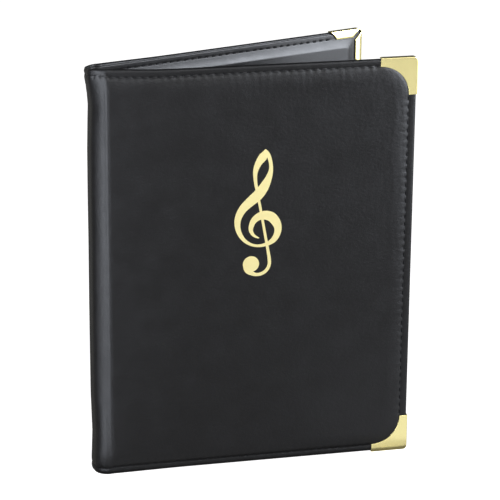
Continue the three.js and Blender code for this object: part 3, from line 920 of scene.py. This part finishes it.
class Shader:
    """A material's node tree, with short calls for the nodes that the finishes share."""

    def __init__(self, name):
        self.material = bpy.data.materials.new(name)
        self.material.use_nodes = True
        self.tree = self.material.node_tree
        self.surface = self.tree.nodes["Principled BSDF"]
        self.place = self.node("ShaderNodeTexCoord").outputs["Object"]

    def node(self, kind, **settings):
        made = self.tree.nodes.new(kind)
        for key, value in settings.items():
            setattr(made, key, value)
        return made

    def link(self, source, target):
        self.tree.links.new(source, target)
        return target

    def noise(self, scale, detail=2.0, roughness=0.5, stretch=None):
        """Noise at so many cells a metre, drawn out along an axis by a stretch."""
        made = self.node("ShaderNodeTexNoise")
        made.inputs["Scale"].default_value = scale
        made.inputs["Detail"].default_value = detail
        made.inputs["Roughness"].default_value = roughness
        self.link(self.mapped(stretch), made.inputs["Vector"])
        return made.outputs["Fac"]

    def mapped(self, stretch):
        if stretch is None:
            return self.place
        mapping = self.node("ShaderNodeMapping")
        mapping.inputs["Scale"].default_value = stretch
        self.link(self.place, mapping.inputs["Vector"])
        return mapping.outputs["Vector"]

    def cells(self, scale, feature="DISTANCE_TO_EDGE"):
        made = self.node("ShaderNodeTexVoronoi", feature=feature)
        made.inputs["Scale"].default_value = scale
        self.link(self.place, made.inputs["Vector"])
        return made.outputs["Distance"]

    def ramp(self, value, low, high, to_low, to_high):
        made = self.node("ShaderNodeMapRange")
        made.inputs["From Min"].default_value = low
        made.inputs["From Max"].default_value = high
        made.inputs["To Min"].default_value = to_low
        made.inputs["To Max"].default_value = to_high
        self.link(value, made.inputs["Value"])
        return made.outputs["Result"]

    def blend_colours(self, share, first, second):
        made = self.node("ShaderNodeMix", data_type="RGBA")
        self.link(share, made.inputs["Factor"])
        made.inputs[6].default_value = (*first, 1)
        made.inputs[7].default_value = (*second, 1)
        return made.outputs[2]

    def bump(self, layers):
        """Bumps one on another: each layer is (height, depth in metres)."""
        normal = None
        for height, depth in layers:
            made = self.node("ShaderNodeBump")
            made.inputs["Strength"].default_value = 1.0
            made.inputs["Distance"].default_value = depth
            self.link(height, made.inputs["Height"])
            if normal:
                self.link(normal, made.inputs["Normal"])
            normal = made.outputs["Normal"]
        self.link(normal, self.surface.inputs["Normal"])

    def set(self, **values):
        for key, value in values.items():
            self.surface.inputs[key.replace("_", " ")].default_value = value


def leatherette(name, dark, light, roughness, grain_depth, gloss):
    """Black grained sheet: fine cells, finer creases across them, and slow variation."""
    shader = Shader(name)
    tone = shader.noise(22, 3, 0.6)
    shader.link(shader.blend_colours(tone, dark, light), shader.surface.inputs["Base Color"])
    wear = shader.noise(60, 4, 0.6)
    low, high = roughness
    shader.link(shader.ramp(wear, 0.3, 0.7, low, high), shader.surface.inputs["Roughness"])
    shader.bump(
        [
            (shader.noise(45, 2, 0.5, (1, 1, 0.35)), 0.00018),
            (shader.noise(500, 3, 0.65, (0.7, 1, 1)), grain_depth * 2.6),
            (shader.cells(1400), grain_depth),
            (shader.noise(2600, 3, 0.6), grain_depth * 0.5),
        ]
    )
    shader.set(Specular_IOR_Level=gloss)
    return shader.material


def plain_finish(name, colour, second, scale, roughness, bump_depth, **settings):
    """A finish whose colour and height vary with one noise."""
    shader = Shader(name)
    tone = shader.noise(scale, 3, 0.6)
    shader.link(shader.blend_colours(tone, colour, second), shader.surface.inputs["Base Color"])
    shader.bump([(shader.noise(scale * 3, 3, 0.6), bump_depth)])
    shader.set(Roughness=roughness, **settings)
    return shader.material


def brass_finish():
    """Bright stamped brass: faint drawn streaks and slow colour changes."""
    shader = Shader("polished_brass")
    tone = shader.noise(35, 3, 0.6)
    colour = shader.blend_colours(tone, *BRASS_YELLOW)
    shader.link(colour, shader.surface.inputs["Base Color"])
    streaks = shader.noise(900, 2, 0.5, (1, 1, 0.05))
    shader.link(shader.ramp(streaks, 0.3, 0.7, 0.16, 0.26), shader.surface.inputs["Roughness"])
    shader.bump([(shader.noise(90, 2, 0.5), 0.00004)])
    shader.set(Metallic=1.0)
    return shader.material


def make_finishes():
    """All finishes of the folder."""
    return {
        "leather": leatherette("grained_leatherette", *LEATHER, (0.33, 0.43), 8e-5, 0.2),
        "lining": leatherette("lining_leatherette", *LINING_BLACK, (0.34, 0.44), 3e-5, 0.33),
        "thread": plain_finish(
            "black_thread", *THREAD, 1500, 0.75, 5e-5, Specular_IOR_Level=0.12
        ),
        "foam": plain_finish("padding_foam", *FOAM, 500, 0.95, 2e-4),
        "board": plain_finish("grey_board", *BOARD, 300, 0.9, 6e-5),
        "foil": plain_finish("matt_gold_foil", *FOIL, 160, 0.38, 1e-5, Metallic=0.35),
        "brass": brass_finish(),
    }


def stands_for(nodes):
    """Hides the solids that a piece replaces."""
    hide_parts(*nodes)


def dress_cover(side, finishes):
    """A cover's pieces: skin and lining stay unattached in the scene's frame, and the rest turns
    with the cover's body.

    The front's skin and lining also stand for the spine's.
    """
    body = side + "_cover"
    skin = skin_piece(side, finishes["leather"])
    lining = lining_piece(side, finishes["lining"])
    for piece, kind, slot in ((skin, "skin", "leatherette"), (lining, "lining", "lining")):
        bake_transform(piece)
        nodes = [f"{side}_cover_{kind}"] + ([f"spine_{kind}"] if side == "front" else [])
        stands_for(nodes)
    pocket = pocket_piece(side, finishes["lining"])
    padding = padding_piece(side, finishes["foam"])
    thread, brass = finishes["thread"], finishes["brass"]
    riders = [
        (pocket, "pocket", "lining"),
        (padding, "cover_foam", "foam"),
        (cover_stitches(side, True, thread), "outer_stitching", "thread"),
        (cover_stitches(side, False, thread), "inner_stitching", "thread"),
        (brass_piece(side, "top", brass), "top_corner", "brass"),
        (brass_piece(side, "bottom", brass), "bottom_corner", "brass"),
    ]
    for piece, node, slot in riders:
        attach(piece, body)
        stands_for([f"{side}_{node}"])
    board_slots = NODES[side + "_cover_board"].data.materials
    board_slots.clear()
    board_slots.append(finishes["board"])


def dress_spine(thread):
    """The thread across the spine's two hems, inside and outside."""
    for end in ("top", "bottom"):
        for outside, face in ((True, "outer"), (False, "inner")):
            piece = spine_stitches(end, outside, thread)
            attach(piece, "spine")
            stands_for([f"spine_{end}_{face}_stitching"])


def dress_clef(foil):
    """The foil on the front cover."""
    clef = foil_piece(foil)
    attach(clef, "front_cover")
    stands_for(["treble_clef_foil"])


# Stage and light, in metres and watts
FLOOR_REACH = 30.0
FLOOR_COLOUR = (0.8, 0.8, 0.8)
FLOOR_GLOW = 1.0
FLOOR_MIRRORED = 0.55
AMBIENT = 0.32
ROOM_FADE_START = 0.1
ROOM_FADE_END = 0.4
ROOM_OVERHEAD = 0.15
ROOM_LEAN = (0, 0.3, 1)
COOL = (0.87, 0.92, 1.0)
STRIP_HEIGHT = 155.0
FLOOR_LAMP_AIM = 301.0
# The upright card: a painted reflection of a darker room behind the spine, seen only in
# reflections
CARD_WIDTH = 760.0
CARD_HEIGHT = 1000.0
CARD_DISTANCE = 260.0
CARD_COLOUR = (1.0, 0.97, 0.88)
CARD_GLOW = 0.32
# The floor card: painted shade of the folder on the floor under and beside it, seen only in
# reflections
FLOOR_CARD_HEIGHT = 0.3
FLOOR_CARD_GLOW = 0.24
FLOOR_CARD_PLAN = (-480, -60), (-112, -16), (130, -60), (250, -60), (250, 80), (-200, 380)


def light_path_level(tree, outputs):
    """The largest of these Light Path outputs: 1 for a ray of any of the named kinds."""
    path = tree.nodes.new("ShaderNodeLightPath")
    level = path.outputs[outputs[0]]
    for output in outputs[1:]:
        level = larger(tree, level, path.outputs[output])
    return level


def larger(tree, first, second):
    """A node that gives the larger of two values; either may be a plain number."""
    node = tree.nodes.new("ShaderNodeMath")
    node.operation = "MAXIMUM"
    for socket, value in zip(node.inputs, (first, second)):
        if isinstance(value, float):
            socket.default_value = value
        else:
            tree.links.new(value, socket)
    return node.outputs[0]


def times(tree, first, second):
    """A node that multiplies a value by another value or a number."""
    node = tree.nodes.new("ShaderNodeMath")
    node.operation = "MULTIPLY"
    tree.links.new(first, node.inputs[0])
    if isinstance(second, float):
        node.inputs[1].default_value = second
    else:
        tree.links.new(second, node.inputs[1])
    return node.outputs[0]


def stage_sheet(name, finish, points):
    """A flat sheet of the stage with a dull finish. Returns it and its node tree."""
    mesh = bpy.data.meshes.new(name)
    mesh.from_pydata(points, [], [tuple(range(len(points)))])
    sheet = add_object(name, mesh)
    material = bpy.data.materials.new(finish)
    material.use_nodes = True
    material.node_tree.nodes["Principled BSDF"].inputs["Specular IOR Level"].default_value = 0.0
    mesh.materials.append(material)
    return sheet, material.node_tree


def make_floor():
    """A pale floor that keeps the shadow, and whose glow only the eye and mirrors see.

    Mirrors see it dimmed.
    """
    reach = FLOOR_REACH
    corners = [(-reach, -reach, 0), (reach, -reach, 0), (reach, reach, 0), (-reach, reach, 0)]
    _, tree = stage_sheet("floor", "floor_white", corners)
    paint = tree.nodes["Principled BSDF"]
    paint.inputs["Base Color"].default_value = (*FLOOR_COLOUR, 1)
    paint.inputs["Roughness"].default_value = 1.0
    mirrored = light_path_level(tree, ("Is Glossy Ray", "Is Transmission Ray"))
    dimmed = times(tree, mirrored, FLOOR_MIRRORED)
    seen = larger(tree, light_path_level(tree, ("Is Camera Ray",)), dimmed)
    paint.inputs["Emission Color"].default_value = (1, 1, 1, 1)
    tree.links.new(times(tree, seen, FLOOR_GLOW), paint.inputs["Emission Strength"])


def shade_card(name, corners, glow):
    """A dim card, seen only in reflections: a faintly glowing sheet of painted shade."""
    card, tree = stage_sheet(name, name, (np.array(corners, float) * MM).tolist())
    paint = tree.nodes["Principled BSDF"]
    paint.inputs["Base Color"].default_value = (0, 0, 0, 1)
    paint.inputs["Emission Color"].default_value = (*CARD_COLOUR, 1)
    paint.inputs["Emission Strength"].default_value = glow
    card.visible_camera = False
    card.visible_diffuse = False
    card.visible_shadow = False


def make_shade_cards():
    """A dim upright card behind the spine on the left, and one under the folder, both seen only
    in reflections.

    The upright one faces the spine across its diagonal. It is a painted reflection that stands
    for a darker room behind the spine. The one under the folder is painted shade that stands for
    the folder's shade on the floor.
    """
    diagonal = np.array([1, 1, 0]) / math.sqrt(2)
    along = diagonal * CARD_WIDTH / 2
    middle = np.array([HINGE_X, 0, 0]) + diagonal * [-CARD_DISTANCE, CARD_DISTANCE, 0]
    up = np.array([0, 0, CARD_HEIGHT])
    upright = [middle - along, middle + along, middle + along + up, middle - along + up]
    # Painted reflection: a dim sheet that stands for a darker room behind the spine
    shade_card("spine_shade", upright, CARD_GLOW)
    on_floor = [(x, y, FLOOR_CARD_HEIGHT) for x, y in FLOOR_CARD_PLAN]
    # Painted shade: a dim sheet that stands for the folder's shade on the floor
    shade_card("floor_shade", on_floor, FLOOR_CARD_GLOW)


def make_world():
    """A surround that is white to the eye, and dimmer overhead for everything else.

    The light fades from the horizon to overhead, and sooner behind the folder than in
    front, so that bright metal shows a darker room above the white surround.
    """
    world = bpy.data.worlds.new("surround")
    bpy.context.scene.world = world
    world.use_nodes = True
    tree = world.node_tree
    direction = tree.nodes.new("ShaderNodeTexCoord")
    lean = tree.nodes.new("ShaderNodeVectorMath")
    lean.operation = "DOT_PRODUCT"
    lean.inputs[1].default_value = ROOM_LEAN
    tree.links.new(direction.outputs["Generated"], lean.inputs[0])
    fade = tree.nodes.new("ShaderNodeMapRange")
    fade.interpolation_type = "SMOOTHSTEP"
    fade.inputs["From Min"].default_value = ROOM_FADE_START
    fade.inputs["From Max"].default_value = ROOM_FADE_END
    fade.inputs["To Min"].default_value = 1.0
    fade.inputs["To Max"].default_value = ROOM_OVERHEAD
    tree.links.new(lean.outputs["Value"], fade.inputs["Value"])
    mirrored = light_path_level(tree, ("Is Glossy Ray", "Is Transmission Ray"))
    level = times(tree, larger(tree, mirrored, AMBIENT), fade.outputs["Result"])
    level = larger(tree, level, light_path_level(tree, ("Is Camera Ray",)))
    tree.links.new(level, tree.nodes["Background"].inputs["Strength"])
    tree.nodes["Background"].inputs["Color"].default_value = (1, 1, 1, 1)


def soft_lamp(name, target, azimuth, elevation, distance, size, power, mirrored=False):
    """A rectangular lamp that faces a target.

    Seen from the target, it stands at an azimuth from the front and an elevation, both in
    degrees. A mirrored lamp shows in shiny surfaces and casts no light on matt ones.
    """
    light = bpy.data.lights.new(name, "AREA")
    light.shape = "RECTANGLE"
    light.size, light.size_y = size
    light.energy = power
    light.color = COOL if mirrored else (1, 1, 1)
    lamp = add_object(name, light)
    a, e = math.radians(azimuth), math.radians(elevation)
    back = np.array([math.sin(a) * math.cos(e), -math.cos(a) * math.cos(e), math.sin(e)])
    side = np.array([math.cos(a), math.sin(a), 0])
    matrix = np.eye(4)
    matrix[:3, 0], matrix[:3, 1], matrix[:3, 2] = side, np.cross(back, side), back
    matrix[:3, 3] = np.array(target) * MM + back * distance
    lamp.matrix_world = Matrix(matrix.tolist())
    lamp.visible_camera = False
    lamp.visible_diffuse = not mirrored


def make_lights():
    """Soft lamps in front and on the left, and dimmer ones that only shiny surfaces mirror.

    Two of those lie on the floor and face up.
    """
    by_spine = HINGE_X, -HINGE_Y, STRIP_HEIGHT
    by_fore_edge = COVER_WIDTH / 2, 0, STRIP_HEIGHT
    by_corner = COVER_WIDTH / 2, 0, FOLDER_TOP
    middle = 0, 0, MIDDLE_HEIGHT
    over_spine_floor = HINGE_X - 95, -HINGE_Y - 55, FLOOR_LAMP_AIM
    over_fore_floor = 150, -145, FLOOR_LAMP_AIM
    soft_lamp("left_strip", by_spine, -50, 12, 0.17, (0.1, 0.44), 1.55, True)
    soft_lamp("spine_floor_card", over_spine_floor, -60, -90, 0.3, (0.07, 0.15), 0.2, True)
    soft_lamp("fore_floor_card", over_fore_floor, 4, -90, 0.3, (0.2, 0.16), 0.05, True)
    soft_lamp("right_softbox", by_fore_edge, 37, 8, 0.6, (0.34, 0.44), 2.1, True)
    soft_lamp("right_strip", by_fore_edge, 44, 40, 0.6, (0.3, 0.1), 2.2, True)
    soft_lamp("corner_softbox", by_corner, 50, 17, 0.85, (0.8, 0.7), 25.0, True)
    soft_lamp("back_softbox", middle, 207, 10, 0.85, (1.0, 0.6), 8.0, True)
    soft_lamp("front_softbox", middle, 12, 30, 1.6, (1.2, 0.8), 10.8)
    soft_lamp("left_softbox", by_spine, -85, 35, 1.0, (0.6, 0.5), 3.6)


# Camera, as solved from the photograph's outline of the folder
CAMERA_PLACE = (-611.4, -1484.5, 697.7)
CAMERA_HEADING = math.radians(22.657)
CAMERA_PITCH = math.radians(18.515)
CAMERA_ROLL = math.radians(0.412)
FOCAL_PIXELS = 2260.0
PICTURE_PIXELS = 500
SENSOR = 36.0


def make_camera():
    """A level camera turned by its heading, tipped down by its pitch and then rolled."""
    sin_h, cos_h = math.sin(CAMERA_HEADING), math.cos(CAMERA_HEADING)
    sin_p, cos_p = math.sin(CAMERA_PITCH), math.cos(CAMERA_PITCH)
    level_right = np.array([cos_h, -sin_h, 0])
    level_up = np.array([sin_h * sin_p, cos_h * sin_p, cos_p])
    right = level_right * math.cos(CAMERA_ROLL) + level_up * math.sin(CAMERA_ROLL)
    up = level_up * math.cos(CAMERA_ROLL) - level_right * math.sin(CAMERA_ROLL)
    matrix = np.eye(4)
    matrix[:3, 0], matrix[:3, 1], matrix[:3, 2] = right, up, np.cross(right, up)
    matrix[:3, 3] = np.array(CAMERA_PLACE) * MM
    data = bpy.data.cameras.new("camera")
    data.sensor_width = SENSOR
    data.lens = SENSOR * FOCAL_PIXELS / PICTURE_PIXELS
    camera = add_object("camera", data)
    camera.matrix_world = Matrix(matrix.tolist())
    bpy.context.scene.camera = camera


make_camera()
finishes = make_finishes()
for side in ("front", "back"):
    dress_cover(side, finishes)
dress_spine(finishes["thread"])
dress_clef(finishes["foil"])
make_floor()
make_shade_cards()
make_world()
make_lights()
bpy.context.scene.view_settings.view_transform = "Standard"
